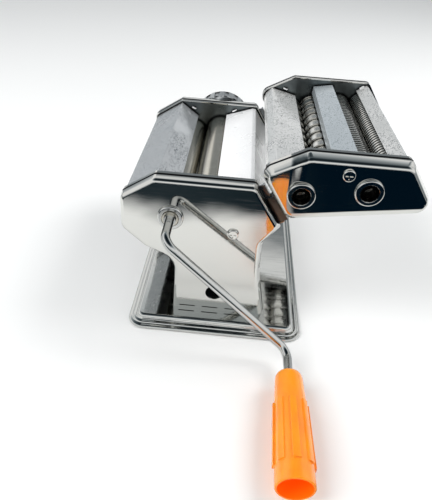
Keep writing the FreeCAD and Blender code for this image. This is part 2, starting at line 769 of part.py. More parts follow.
def head_socket_bushes():
    bushes = []
    for name, x, z in cutters:
        flange = tube(x, z, head_socket_flange_r, shaft_r + run_fit,
                      -head_cover_face - socket_flange, -head_cover_face - seat)
        rim = [e for e in flange.Edges if e.BoundBox.YMax < -head_cover_face - socket_flange + 0.01
               and e.BoundBox.XLength > 2 * head_socket_flange_r - 0.1]
        flange = flange.makeFillet(flange_edge_r, rim)
        barrel = tube(x, z, barrel_r, shaft_r + run_fit,
                      -head_cover_face - 2 * seat, -head_cover_face + barrel_length)
        bushes.append(flange.fuse(barrel))
    return group(bushes)


def head_bearings():
    rings = []
    for name, x, z in cutters:
        for k in (0, 1):
            for side in (-1, 1):
                inner = shaft_r if (k == 0 and side < 0) else cutter_shaft_r
                y0 = side * (head_plate_inner - bush_lip)
                rings.append(tube(x + k * cutter_dx, z + k * cutter_dz, cutter_bush_r, inner + run_fit,
                                  y0, y0 + side * bush_length))
    return group(rings)


def cutter(x, z, disc_r, groove_r, pitch, offset, driven):
    """Cutter roller: a row of square-shouldered discs turned from one bar, with its shaft."""
    points = [(0.0, -head_roller_end), (groove_r, -head_roller_end)]
    disc = pitch / 2 - side_gap
    count = int(head_roller_end / pitch) + 2
    for i in range(-count, count):
        low = i * pitch + offset + side_gap / 2
        high = min(low + disc, head_roller_end - end_land)
        low = max(low, -head_roller_end + end_land)
        if high > low + side_gap:
            points += [(groove_r, low), (disc_r, low), (disc_r, high), (groove_r, high)]
    points += [(groove_r, head_roller_end), (0.0, head_roller_end)]
    body = turned_y(points, x, z)
    gear_side = -head_plate_inner - plate_wall - head_gear_start - gear_width - 1.4
    near_end = head_socket_mouth if driven else gear_side
    near_r = shaft_r if driven else cutter_shaft_r
    body = body.fuse(rod(x, z, near_r, near_end, 0)).fuse(rod(x, z, cutter_shaft_r, 0, head_plate_inner + 4.0))
    if driven:
        body = body.cut(slotted_socket(x, z, near_end))
    return body


def cutter_gear(x, z, phase, shaft):
    y = -head_plate_inner - plate_wall - head_gear_start - gear_width
    return gear(x, z, cutter_spacing / 2, cutter_tooth, y, gear_width, phase, shaft + seat)


def comb(x, z, disc_r, groove_r, pitch, offset, lean):
    """Stripper comb under a cutter: its teeth stand in the grooves and lift the noodles out."""
    tooth_half = pitch / 4 - side_gap
    reach = groove_r + disc_gap
    back = disc_r + comb_air
    half = head_plate_inner - seat
    points = []
    count = int(head_roller_end / pitch) + 2
    for i in range(-count, count):
        middle = (i + 0.75) * pitch + offset
        if abs(middle) < head_roller_end - pitch / 2:
            points += [(back, middle - tooth_half), (reach, middle - tooth_half),
                       (reach, middle + tooth_half), (back, middle + tooth_half)]
    points = [(back + comb_depth, -half), (back, -half)] + points + [(back, half), (back + comb_depth, half)]
    ux = lean * math.sin(math.radians(comb_deg))
    uz = -math.cos(math.radians(comb_deg))
    ring = [V(x + ux * r, y, z + uz * r) for r, y in points]
    thickness = V(-uz * sheet, 0, ux * sheet)
    return Part.Face(Part.makePolygon(ring + [ring[0]])).extrude(thickness)


def head_tie_rods():
    rods = []
    for x, z in head_rods:
        bar = rod(x, z, tie_rod_r, -head_plate_inner + seat, head_plate_inner - seat)
        drill = rod(x, z, screw_r + seat, -head_plate_inner - 1, -head_plate_inner + tie_rod_drill)
        rods.append(bar.cut(both_sides(drill)))
    return group(rods)


def head_screws():
    length = head_cover_face - head_plate_inner + screw_bite
    near = pan_head(head_screw_x, head_screw_z, -head_cover_face - seat, length, -1)
    low_x, low_z = head_rods[1]
    low = pan_head(low_x, low_z, -head_plate_inner - plate_wall - seat, inner_screw_length, -1)
    return group([near, mirror_y(near), low, mirror_y(low)])


def head_left_sheet():
    """Sheet round the left end of the cutter head, over the chamfer and down to the wide cutter."""
    skin = inset(head_corners, sheet_drop)
    under = (skin[4][0] + 9.0, skin[4][1] + 1.4)
    corner = (skin[4][0] + 0.5, skin[4][1] + 0.8)
    chamfer_foot = (skin[5][0] + 2.2, skin[5][1] - 3.0)
    chamfer_top = (skin[5][0] + 3.6, skin[5][1] + 1.2)
    crest = (head_left_x + 11.6, head_left_z + 5.6)
    low = (wide_x + 4.4, wide_z + wide_disc_r + 1.6)
    return bent_sheet([under, corner, chamfer_foot, chamfer_top, crest, low], sheet, head_plate_inner - seat)


def head_divider():
    """Roof sheet between the two cutter pairs, its skirts turned down over them."""
    left_skirt = (wide_x + 19.4, head_top_z - 13.3)
    left_edge = (wide_x + 20.0, head_top_z - 6.9)
    right_edge = (wide_x + 37.2, head_top_z - 3.9)
    right_skirt = (wide_x + 38.8, head_top_z - 10.9)
    return bent_sheet([left_skirt, left_edge, right_edge, right_skirt], sheet, head_plate_inner - seat)


def head_right_sheet():
    """Sheet from the fine cutter over the top edge and down the right end."""
    skin = inset(head_corners, sheet_drop)
    low = (fine_x + 14.8, fine_z + 14.9)
    crest = (skin[1][0] - 1.5, skin[1][1])
    fold = (skin[1][0] + 0.6, skin[1][1] - 0.9)
    chamfer_foot = (skin[2][0] - 0.6, skin[2][1] + 0.6)
    end = (skin[3][0], skin[3][1] + 3.5)
    return bent_sheet([low, crest, fold, chamfer_foot, end], sheet, head_plate_inner - seat)


# ---- rail and hooks ---------------------------------------------------------------------------
def slope_block(s0, s1, n0, n1, y0, y1):
    """Block laid on the right-hand slope: s runs up the slope, n stands out of it."""
    corners = []
    for s, n in ((s0, n0), (s1, n0), (s1, n1), (s0, n1)):
        corners.append(V(slope_end_x + up_x * s + out_x * n, y0, slope_end_z + up_z * s + out_z * n))
    return Part.Face(Part.makePolygon(corners + [corners[0]])).extrude(V(0, y1 - y0, 0))


head_stand_off = (head_low_x - slope_end_x) * out_x + (head_low_z - slope_end_z) * out_z


def guide_rails():
    """T-shaped rail on each side plate's slope, with a stop at the bottom."""
    s0, s1 = rail_start, rail_start + rail_length
    stem = slope_block(s0, s1, seat, rail_height - rail_head_thick + 0.1,
                       -rail_y - rail_stem / 2, -rail_y + rail_stem / 2)
    head = slope_block(s0, s1, rail_height - rail_head_thick, rail_height,
                       -rail_y - rail_head / 2, -rail_y + rail_head / 2)
    stop = slope_block(s0 - rail_stop, s0, seat, rail_height, -rail_y - rail_head / 2, -rail_y + rail_head / 2)
    return both_sides(stem.fuse(head).fuse(stop))


def head_hooks():
    """C-shaped hook on each end of the cutter head that slides down over a rail."""
    s0 = rail_start + cover_gap
    s1 = s0 + hook_length
    wide = rail_head / 2 + hook_gap + hook_wall
    block = slope_block(s0, s1, hook_base, head_stand_off - seat, -rail_y - wide, -rail_y + wide)
    room = slope_block(s0 - 1, s1 + 1, rail_height - rail_head_thick - hook_gap, rail_height + hook_gap,
                       -rail_y - rail_head / 2 - hook_gap, -rail_y + rail_head / 2 + hook_gap)
    mouth = slope_block(s0 - 1, s1 + 1, 0.0, rail_height, -rail_y - rail_stem / 2 - hook_gap,
                        -rail_y + rail_stem / 2 + hook_gap)
    return both_sides(block.cut(room).cut(mouth))


# ---- write every piece ------------------------------------------------------------------------
half_tooth = 180.0 / gear_teeth

save(base_plate(), "base_plate")
save(base_feet(), "base_feet")
save(base_screws(), "base_screws")
save(side_plate(True), "crank_side_plate")
save(mirror_y(side_plate(False)), "dial_side_plate")
save(side_cover(True), "crank_side_cover")
save(mirror_y(side_cover(False)), "dial_side_cover")
save(roller_bushes(), "roller_bushes")
save(crank_socket_bush(), "crank_socket_bush")
save(tie_rods(), "tie_rods")
save(cover_screws(), "cover_screws")
save(frame_screws(), "frame_screws")
save(left_hopper_sheet(), "left_hopper_sheet")
save(right_hopper_sheet(), "right_hopper_sheet")
save(scraper(fixed_x, fixed_z, 1), "fixed_roller_scraper")
save(scraper(movable_x, movable_z, -1), "movable_roller_scraper")
save(fixed_roller(), "fixed_roller")
save(roller_gear(fixed_x, fixed_z, centre_line_deg), "fixed_roller_gear")
save(movable_roller(), "movable_roller")
save(roller_gear(movable_x, movable_z, centre_line_deg + 180 + half_tooth), "movable_roller_gear")
save(eccentric_bushes(), "eccentric_bushes")
save(adjuster_yoke(), "adjuster_yoke")
save(crank_rod(), "crank_rod")
save(crank_grip(), "crank_grip")
save(grip_washer(), "grip_washer")
save(dial_shaft(), "dial_shaft")
save(index_plate(), "dial_index_plate")
save(thickness_dial(), "thickness_dial")
save(head_plate(), "cutter_crank_side_plate")
save(mirror_y(head_plate()), "cutter_far_side_plate")
save(head_cover(True), "cutter_crank_side_cover")
save(mirror_y(head_cover(False)), "cutter_far_side_cover")
save(head_socket_bushes(), "cutter_socket_bushes")
save(head_bearings(), "cutter_bearings")
save(head_tie_rods(), "cutter_tie_rods")
save(head_screws(), "cutter_screws")
save(head_left_sheet(), "cutter_left_sheet")
save(head_divider(), "cutter_divider")
save(head_right_sheet(), "cutter_right_sheet")
save(guide_rails(), "guide_rails")
save(head_hooks(), "cutter_head_hooks")

for name, x, z, disc_r, pitch in (("wide", wide_x, wide_z, wide_disc_r, wide_pitch),
                                  ("fine", fine_x, fine_z, fine_disc_r, fine_pitch)):
    groove_r = cutter_spacing - disc_r - disc_gap
    x2 = x + cutter_dx
    z2 = z + cutter_dz
    save(cutter(x, z, disc_r, groove_r, pitch, 0.0, True), name + "_cutter_driven")
    save(cutter(x2, z2, disc_r, groove_r, pitch, pitch / 2, False), name + "_cutter_idle")
    save(cutter_gear(x, z, cutter_line_deg, shaft_r), name + "_gear_driven")
    save(cutter_gear(x2, z2, cutter_line_deg + 180 + half_tooth, cutter_shaft_r), name + "_gear_idle")
    left_comb = comb(x, z, disc_r, groove_r, pitch, 0.0, -1)
    right_comb = comb(x2, z2, disc_r, groove_r, pitch, pitch / 2, 1)
    save(group([left_comb, right_comb]), name + "_combs")
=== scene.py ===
import bpy
import json
import math
from mathutils import Matrix, Vector

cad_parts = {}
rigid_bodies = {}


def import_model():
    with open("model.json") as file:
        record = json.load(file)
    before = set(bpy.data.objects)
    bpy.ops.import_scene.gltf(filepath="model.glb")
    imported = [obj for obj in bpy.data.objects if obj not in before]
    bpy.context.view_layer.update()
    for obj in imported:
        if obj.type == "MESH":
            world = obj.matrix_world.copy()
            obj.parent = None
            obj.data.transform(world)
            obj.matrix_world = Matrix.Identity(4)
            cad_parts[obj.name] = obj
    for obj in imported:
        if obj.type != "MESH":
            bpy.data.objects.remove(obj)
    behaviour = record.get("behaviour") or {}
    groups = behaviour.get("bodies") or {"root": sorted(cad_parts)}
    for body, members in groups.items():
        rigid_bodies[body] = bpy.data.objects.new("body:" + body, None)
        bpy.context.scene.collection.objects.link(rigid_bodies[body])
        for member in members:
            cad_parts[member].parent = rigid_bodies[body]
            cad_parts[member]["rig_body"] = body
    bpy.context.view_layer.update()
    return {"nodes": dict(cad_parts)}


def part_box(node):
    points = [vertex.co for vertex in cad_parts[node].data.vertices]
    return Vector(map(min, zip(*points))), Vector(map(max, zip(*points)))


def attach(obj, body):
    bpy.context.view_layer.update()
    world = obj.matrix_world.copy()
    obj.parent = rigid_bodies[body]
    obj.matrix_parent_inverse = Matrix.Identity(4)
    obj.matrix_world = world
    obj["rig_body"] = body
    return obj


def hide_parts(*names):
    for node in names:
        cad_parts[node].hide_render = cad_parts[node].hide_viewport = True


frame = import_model()
nodes = frame["nodes"]

# ---- camera, table and light -----------------------------------------------------------------
# The machine stands on a white table in a bright room with a dim ceiling.  A dark cloth lies on
# the table in front of it, seen only in the chrome: polished metal shows nothing but its room.
MM = 0.001

bpy.ops.object.camera_add(location=(3.3 * MM, -405.8 * MM, 294.4 * MM),
                          rotation=(math.radians(54.50), math.radians(-3.54), math.radians(4.25)))
camera = bpy.context.object
camera.data.lens = 36.6
camera.data.sensor_width = 36.0
camera.data.shift_x = 0.0075
camera.data.shift_y = 0.0011
camera.data.clip_start = 0.01
bpy.context.scene.camera = camera
bpy.context.scene.view_settings.view_transform = "Standard"


def linear(hex_colour):
    """sRGB hex such as "C6C5BF" to linear RGBA."""
    channels = [int(hex_colour[i:i + 2], 16) / 255 for i in (0, 2, 4)]
    return [c / 12.92 if c <= 0.04045 else ((c + 0.055) / 1.055) ** 2.4 for c in channels] + [1.0]


def set_stops(band, stops):
    """Lays (position, hex colour) stops on a colour band."""
    for element, (position, colour) in zip(band.elements, (stops[0], stops[-1])):
        element.position = position
        element.color = linear(colour)
    for position, colour in stops[1:-1]:
        band.elements.new(position).color = linear(colour)


def put(tree, kind, settings=None, links=None):
    """Adds one shader node: settings are its properties or input values, links its inputs' sources."""
    node = tree.nodes.new(kind)
    for name, value in (settings or {}).items():
        if name == "stops":
            set_stops(node.color_ramp, value)
        elif isinstance(name, int) or name in node.inputs:
            node.inputs[name].default_value = value
        else:
            setattr(node, name, value)
    for name, source in (links or {}).items():
        tree.links.new(source, node.inputs[name])
    return node


def finish(name, colour, metallic, roughness):
    """A named surface with its Principled shader and object coordinates ready to build on."""
    material = bpy.data.materials.new(name)
    material.use_nodes = True
    tree = material.node_tree
    shader = tree.nodes["Principled BSDF"]
    shader.inputs["Base Color"].default_value = linear(colour)
    shader.inputs["Metallic"].default_value = metallic
    shader.inputs["Roughness"].default_value = roughness
    place = put(tree, "ShaderNodeTexCoord")
    return material, tree, shader, place.outputs["Object"]


def table_plane(name, width, depth, centre_y, height):
    """A flat sheet of the studio, its place in its mesh."""
    bpy.ops.object.select_all(action="DESELECT")
    bpy.ops.mesh.primitive_plane_add(size=1.0)
    plane = bpy.context.object
    plane.name = name
    plane.data.transform(Matrix.Translation((0, centre_y, height))
                         @ Matrix.Diagonal((width, depth, 1.0, 1.0)))
    return plane


white_table, table_tree, table_shader, table_place = finish("white_laminate", "F6F6F5", 0.0, 0.85)
table_shader.inputs["Specular IOR Level"].default_value = 0.1
table_plane("table", 8.0, 8.0, 0.0, -0.2 * MM).data.materials.append(white_table)

# the cloth's near edge is soft and wavy, and comes closer on the cutter head's side
cloth_material, cloth_tree, cloth_shader, cloth_place = finish("dark_cloth", "0A202D", 0.0, 1.0)
cloth_shader.inputs["Specular IOR Level"].default_value = 0.0
cloth_wave = put(cloth_tree, "ShaderNodeTexNoise", {"Scale": 9.0, "Detail": 3.0}, {"Vector": cloth_place})
cloth_axes = put(cloth_tree, "ShaderNodeSeparateXYZ", links={"Vector": cloth_place})
cloth_side = put(cloth_tree, "ShaderNodeMapRange",
                 {"From Min": 0.02, "From Max": 0.10, "To Min": 0.0, "To Max": 0.035},
                 {"Value": cloth_axes.outputs["X"]})
cloth_edge = put(cloth_tree, "ShaderNodeMath", {"operation": "MULTIPLY_ADD", 1: 0.10},
                 {0: cloth_wave.outputs["Fac"], 2: cloth_axes.outputs["Y"]})
cloth_line = put(cloth_tree, "ShaderNodeMath", {"operation": "SUBTRACT"},
                 {0: cloth_edge.outputs[0], 1: cloth_side.outputs[0]})
cloth_across = put(cloth_tree, "ShaderNodeMapRange", {"From Min": -0.05, "From Max": 0.12},
                   {"Value": cloth_axes.outputs["X"]})
cloth_tint = put(cloth_tree, "ShaderNodeValToRGB",
                 {"stops": [(0.0, "242E33"), (0.55, "18242A"), (1.0, "03131F")]},
                 {"Fac": cloth_across.outputs[0]}).outputs["Color"]
cloth_tree.links.new(cloth_tint, cloth_shader.inputs["Base Color"])
cloth_cover = put(cloth_tree, "ShaderNodeMapRange",
                  {"interpolation_type": "SMOOTHSTEP", "From Min": -0.185, "From Max": -0.245},
                  {"Value": cloth_line.outputs[0]})
cloth_gone = put(cloth_tree, "ShaderNodeBsdfTransparent")
cloth_mix = put(cloth_tree, "ShaderNodeMixShader",
                links={0: cloth_cover.outputs[0], 1: cloth_gone.outputs[0], 2: cloth_shader.outputs[0]})
cloth_tree.links.new(cloth_mix.outputs[0], cloth_tree.nodes["Material Output"].inputs["Surface"])
cloth = table_plane("dark_cloth", 3.0, 1.3, -0.87, 0.4 * MM)
cloth.data.materials.append(cloth_material)
cloth.visible_camera = False
cloth.visible_shadow = False
cloth.visible_diffuse = False

# room light by direction: grey far walls, white upper walls, dim ceiling
world = bpy.data.worlds.new("white_room")
bpy.context.scene.world = world
world.use_nodes = True
sky = world.node_tree
sky.nodes.clear()
direction = put(sky, "ShaderNodeTexCoord").outputs["Generated"]
clutter = put(sky, "ShaderNodeTexNoise", {"Scale": 2.4, "Detail": 2.0}, {"Vector": direction})
height = put(sky, "ShaderNodeSeparateXYZ", links={"Vector": direction})
uneven = put(sky, "ShaderNodeMath", {"operation": "MULTIPLY_ADD", 1: 0.16},
             {0: clutter.outputs["Fac"], 2: height.outputs["Z"]})
ROOM = [(0.0, "4A5256"), (0.08, "8A9296"), (0.17, "A9AEB2"), (0.27, "E2E5E7"), (0.37, "FFFFFF"),
        (0.66, "FFFFFF"), (0.78, "C2C8CC"), (0.90, "5B656B"), (1.0, "1E262B")]
room = put(sky, "ShaderNodeValToRGB", {"stops": ROOM},
           {"Fac": uneven.outputs[0]}).outputs["Color"]
# a dim doorway behind the machine: the chrome's upper edges mirror it
doorway_y = put(sky, "ShaderNodeMapRange", {"From Min": 0.45, "From Max": 0.75},
                {"Value": height.outputs["Y"]})
doorway_z = put(sky, "ShaderNodeMapRange",
                {"interpolation_type": "SMOOTHSTEP", "From Min": 0.30, "From Max": 0.42},
                {"Value": uneven.outputs[0]})
doorway_x = put(sky, "ShaderNodeMapRange",
                {"interpolation_type": "SMOOTHSTEP", "From Min": -0.30, "From Max": -0.20},
                {"Value": height.outputs["X"]})
doorway_top = put(sky, "ShaderNodeMapRange",
                  {"interpolation_type": "SMOOTHSTEP", "From Min": 0.60, "From Max": 0.53},
                  {"Value": height.outputs["Z"]})
doorway_high = put(sky, "ShaderNodeMath", {"operation": "MULTIPLY"},
                   {0: doorway_top.outputs[0], 1: doorway_z.outputs[0]})
doorway_part = put(sky, "ShaderNodeMath", {"operation": "MULTIPLY"},
                   {0: doorway_y.outputs[0], 1: doorway_high.outputs[0]})
doorway = put(sky, "ShaderNodeMath", {"operation": "MULTIPLY"},
              {0: doorway_part.outputs[0], 1: doorway_x.outputs[0]})
dimmed = put(sky, "ShaderNodeMix", {"data_type": "RGBA", 7: linear("80868A")},
             {0: doorway.outputs[0], 6: room})
room_light = put(sky, "ShaderNodeBackground", {"Strength": 1.0}, {"Color": dimmed.outputs[2]})
white = put(sky, "ShaderNodeBackground", {"Color": (1.0, 1.0, 1.0, 1.0), "Strength": 1.0})
ray = put(sky, "ShaderNodeLightPath")
seen = put(sky, "ShaderNodeMixShader",
           links={0: ray.outputs["Is Camera Ray"], 1: room_light.outputs[0], 2: white.outputs[0]})
put(sky, "ShaderNodeOutputWorld", links={"Surface": seen.outputs[0]})


def soft_box(name, place, size, power):
    bpy.ops.object.light_add(type="AREA", location=place)
    lamp = bpy.context.object
    lamp.name = name
    lamp.data.shape = "RECTANGLE"
    lamp.data.size = size[0]
    lamp.data.size_y = size[1]
    lamp.data.energy = power
    lamp.rotation_euler = (Vector((0, 0, 0.05)) - Vector(place)).to_track_quat("-Z", "Y").to_euler()
    lamp.visible_glossy = False


soft_box("left_soft_box", (-0.9, -0.5, 1.1), (0.7, 0.9), 13.0)
soft_box("right_soft_box", (1.0, 0.3, 1.2), (0.8, 0.8), 13.0)


# ---- pressed base ----------------------------------------------------------------------------
# A pan of 1 mm steel, deep-drawn with two shallow steps round its rim and chrome-plated.  Its four
# rubber feet are pushed in from below, and slots in its top take the lanced tabs of the frame.
# A flat sheet closes this pan underneath, where the real one is open.
def deselect():
    bpy.ops.object.select_all(action="DESELECT")


def add_modifier(piece, kind, **settings):
    """Adds a modifier with its settings and applies it."""
    modifier = piece.modifiers.new(kind.lower(), kind)
    for name, value in settings.items():
        setattr(modifier, name, value)
    deselect()
    piece.select_set(True)
    bpy.context.view_layer.objects.active = piece
    bpy.ops.object.modifier_apply(modifier=modifier.name)


def smooth(piece, degrees=32.0):
    deselect()
    piece.select_set(True)
    bpy.context.view_layer.objects.active = piece
    bpy.ops.object.shade_smooth_by_angle(angle=math.radians(degrees))


def stand_in(piece, node, material):
    """The piece takes the CAD node's place, body and finish."""
    piece.data.materials.clear()
    piece.data.materials.append(material)
    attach(piece, nodes[node]["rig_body"])
    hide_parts(node)


def give(names, material):
    """Puts a finish on CAD nodes whose own shape is shown."""
    for name in names:
        nodes[name].data.materials.clear()
        nodes[name].data.materials.append(material)


def wavy_chrome(name, colour, roughness, waviness, wave_per_metre):
    """Hard mirror with a faint orange-peel wave and hair-fine wiping marks."""
    material, tree, shader, place = finish(name, colour, 1.0, roughness)
    wave = put(tree, "ShaderNodeTexNoise", {"Scale": wave_per_metre, "Detail": 1.5}, {"Vector": place})
    bump = put(tree, "ShaderNodeBump", {"Strength": waviness, "Distance": 2 * MM},
               {"Height": wave.outputs["Fac"]})
    wiped = put(tree, "ShaderNodeMapping", {"Scale": (40.0, 400.0, 900.0)}, {"Vector": place})
    marks = put(tree, "ShaderNodeTexNoise", {"Scale": 1.0, "Detail": 3.0},
                {"Vector": wiped.outputs["Vector"]})
    sheen = put(tree, "ShaderNodeMapRange", {"From Min": 0.45, "From Max": 0.75, "To Min": roughness,
                                             "To Max": roughness + 0.10}, {"Value": marks.outputs["Fac"]})
    tree.links.new(sheen.outputs[0], shader.inputs["Roughness"])
    tree.links.new(bump.outputs["Normal"], shader.inputs["Normal"])
    return material, tree, shader, place, bump


base_low, base_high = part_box("base_plate")
BASE_CORNER = 13 * MM
BASE_WALL = 1.0 * MM
BASE_RIM = 1.2 * MM                     # height of the upright edge
BASE_STEPS = [(0.9, 1.1), (2.3, 0.3), (0.7, 1.2), (2.2, 0.2), (0.9, 2.6), (0.8, 0.9)]   # (inwards, up), mm
SLOT_SIZE = (13.0 * MM, 1.1 * MM)
SLOT_GAP = 19.0 * MM
SLOT_Y = -93.0 * MM

deselect()
bpy.ops.mesh.primitive_plane_add(size=1.0)
base = bpy.context.object
base.name = "drawn_base_pan"
base.data.transform(Matrix.Translation((0, 0, base_low.z))
                    @ Matrix.Diagonal((base_high.x - base_low.x, base_high.y - base_low.y, 1, 1)))
bpy.ops.object.mode_set(mode="EDIT")
bpy.ops.mesh.select_all(action="SELECT")
bpy.ops.mesh.bevel(offset=BASE_CORNER, segments=12, affect="VERTICES")
bpy.ops.mesh.select_all(action="SELECT")
bpy.ops.mesh.extrude_region_move(TRANSFORM_OT_translate={"value": (0, 0, BASE_RIM)})
for inwards, rise in BASE_STEPS:
    bpy.ops.mesh.inset(thickness=inwards * MM, depth=rise * MM)
left_over = base_high.z - base_low.z - BASE_RIM - sum(rise for inwards, rise in BASE_STEPS) * MM
bpy.ops.mesh.inset(thickness=1.2 * MM, depth=left_over)
bpy.ops.object.mode_set(mode="OBJECT")
add_modifier(base, "BEVEL", width=0.7 * MM, segments=3, limit_method="ANGLE", angle_limit=math.radians(18))
add_modifier(base, "SOLIDIFY", thickness=BASE_WALL, offset=-1.0)
for i in (-1, 0, 1):
    deselect()
    bpy.ops.mesh.primitive_cube_add(size=1.0)
    cutter = bpy.context.object
    cutter.data.transform(Matrix.Translation((-5 * MM + i * SLOT_GAP, SLOT_Y, base_high.z))
                          @ Matrix.Diagonal((SLOT_SIZE[0], SLOT_SIZE[1], 6 * MM, 1)))
    add_modifier(base, "BOOLEAN", operation="DIFFERENCE", object=cutter)
    bpy.data.objects.remove(cutter)
smooth(base)
add_modifier(base, "WEIGHTED_NORMAL", keep_sharp=True)

# chromed pan: a little duller than the covers from lying in the way of hands and flour
pan_chrome = wavy_chrome("scuffed_chrome_plate", "CBCCC9", 0.05, 0.10, 26.0)[0]
stand_in(base, "base_plate", pan_chrome)

# black nitrile rubber: matt, its moulded skin scuffed grey
rubber, rubber_tree, rubber_shader, rubber_place = finish("moulded_black_rubber", "1B1C1D", 0.0, 0.75)
rubber_skin = put(rubber_tree, "ShaderNodeTexNoise", {"Scale": 900.0, "Detail": 4.0},
                  {"Vector": rubber_place})
rubber_tree.links.new(put(rubber_tree, "ShaderNodeValToRGB", {"stops": [(0.35, "151617"), (0.7, "2B2D2E")]},
                          {"Fac": rubber_skin.outputs["Fac"]}).outputs["Color"],
                      rubber_shader.inputs["Base Color"])
rubber_bump = put(rubber_tree, "ShaderNodeBump", {"Strength": 0.3, "Distance": 0.2 * MM},
                  {"Height": rubber_skin.outputs["Fac"]})
rubber_tree.links.new(rubber_bump.outputs["Normal"], rubber_shader.inputs["Normal"])
give(["base_feet"], rubber)


# ---- side plates, rods and inner screws ------------------------------------------------------
# Blanked from zinc-plated steel sheet and folded at the edge.  They carry the rollers, and show
# only inside the hoppers and in the dark gap behind each cover.
# painted shade: the zinc's base colour is kept dark, mottled at random, to read as plate in shadow
zinc, zinc_tree, zinc_shader, zinc_place = finish("zinc_plate_painted_dark", "5E6466", 1.0, 0.30)
zinc_cloud = put(zinc_tree, "ShaderNodeTexNoise", {"Scale": 55.0, "Detail": 5.0}, {"Vector": zinc_place})
# painted shade: ambient occlusion darkens the zinc almost to black in seams and crevices
painted_seam_shade_ao = put(zinc_tree, "ShaderNodeAmbientOcclusion", {"Distance": 3.0 * MM, "samples": 8})
zinc_unshadowed = put(zinc_tree, "ShaderNodeMapRange", {"From Min": 0.72, "From Max": 0.97},
                {"Value": painted_seam_shade_ao.outputs["AO"]})
zinc_tint = put(zinc_tree, "ShaderNodeMix", {"data_type": "RGBA", 6: linear("0A0B0C")},
                {0: zinc_unshadowed.outputs[0],
                 7: put(zinc_tree, "ShaderNodeValToRGB", {"stops": [(0.3, "4A5052"), (0.7, "73797A")]},
                        {"Fac": zinc_cloud.outputs["Fac"]}).outputs["Color"]})
zinc_tree.links.new(zinc_tint.outputs[2], zinc_shader.inputs["Base Color"])
zinc_wear = put(zinc_tree, "ShaderNodeMapRange", {"To Min": 0.20, "To Max": 0.38},
                {"Value": zinc_cloud.outputs["Fac"]})
zinc_tree.links.new(zinc_wear.outputs[0], zinc_shader.inputs["Roughness"])
give(["crank_side_plate", "dial_side_plate", "cutter_crank_side_plate", "cutter_far_side_plate", "tie_rods",
      "cutter_tie_rods", "frame_screws", "base_screws", "adjuster_yoke"], zinc)


# ---- side covers -----------------------------------------------------------------------------
# Four pressed steel covers with a straight skirt, a slanted wall and a rolled edge round a flat
# face, chrome-plated to a mirror.  A single pan-head screw holds each to the tie rod behind it.
def smoothed_copy(node, name, edge=0.0, segments=3):
    """The CAD node's mesh as one clean skin, its folds rounded by edge."""
    piece = bpy.data.objects.new(name, nodes[node].data.copy())
    bpy.context.scene.collection.objects.link(piece)
    deselect()
    piece.select_set(True)
    bpy.context.view_layer.objects.active = piece
    bpy.ops.object.mode_set(mode="EDIT")
    bpy.ops.mesh.select_all(action="SELECT")
    bpy.ops.mesh.remove_doubles(threshold=0.002 * MM)
    bpy.ops.mesh.dissolve_limited(angle_limit=math.radians(0.6))
    bpy.ops.mesh.normals_make_consistent(inside=False)
    bpy.ops.object.mode_set(mode="OBJECT")
    if edge:
        add_modifier(piece, "BEVEL", width=edge, segments=segments, limit_method="ANGLE",
                     angle_limit=math.radians(24))
    smooth(piece)
    add_modifier(piece, "WEIGHTED_NORMAL", keep_sharp=True)
    return piece


cover_chrome = wavy_chrome("mirror_chromed_cover", "D3D3CF", 0.035, 0.07, 11.0)[0]
# the finish bends the mirror along the head cover's left edge, where it then shows the grip; the
# mesh itself is flat there
head_chrome, head_tree, head_shader, head_place, head_bump = wavy_chrome(
    "mirror_chromed_head_cover", "D3D3CF", 0.035, 0.04, 9.0)
head_axes = put(head_tree, "ShaderNodeSeparateXYZ", links={"Vector": head_place})
head_left = put(head_tree, "ShaderNodeMapRange", {"interpolation_type": "SMOOTHSTEP", "From Min": 53 * MM,
                                                  "From Max": 42 * MM}, {"Value": head_axes.outputs["X"]})
head_rise = put(head_tree, "ShaderNodeMath", {"operation": "MULTIPLY_ADD", 1: 0.095, 2: -0.0105},
                {0: head_axes.outputs["Z"]})
head_hollow = put(head_tree, "ShaderNodeMath", {"operation": "MULTIPLY"},
                  {0: head_left.outputs[0], 1: head_rise.outputs[0]})
# and along its sloping bottom edge, where it then shows the white table
head_slope = put(head_tree, "ShaderNodeMath", {"operation": "MULTIPLY_ADD", 1: -0.153},
                 {0: head_axes.outputs["X"], 2: head_axes.outputs["Z"]})
head_under = put(head_tree, "ShaderNodeMapRange", {"interpolation_type": "SMOOTHSTEP", "From Min": 100.2 * MM,
                                                   "From Max": 104.4 * MM, "To Max": 0.55 * MM},
                 {"Value": head_slope.outputs[0]})
head_shape = put(head_tree, "ShaderNodeMath", {"operation": "ADD"},
                 {0: head_hollow.outputs[0], 1: head_under.outputs[0]})
head_dish = put(head_tree, "ShaderNodeBump", {"Strength": 1.0, "Distance": 1.0},
                {"Height": head_shape.outputs[0], "Normal": head_bump.outputs["Normal"]})
head_tree.links.new(head_dish.outputs["Normal"], head_shader.inputs["Normal"])
SEAM_START = 3.2 * MM                   # from the plate's face to the seam between plate and cover
SEAM = 2.8 * MM
# painted shadow: a near-black, faintly mottled material for the seam's walls between plate and cover
seam_shadow_black, edge_tree, edge_shader, edge_place = finish("seam_wall_painted_shadow", "0B0C0D", 0.0, 0.6)
seam_shadow_noise = put(edge_tree, "ShaderNodeTexNoise", {"Scale": 700.0}, {"Vector": edge_place})
edge_tree.links.new(put(edge_tree, "ShaderNodeValToRGB", {"stops": [(0.3, "070808"), (0.8, "1C1E20")]},
                        {"Fac": seam_shadow_noise.outputs["Fac"]}).outputs["Color"],
                    edge_shader.inputs["Base Color"])


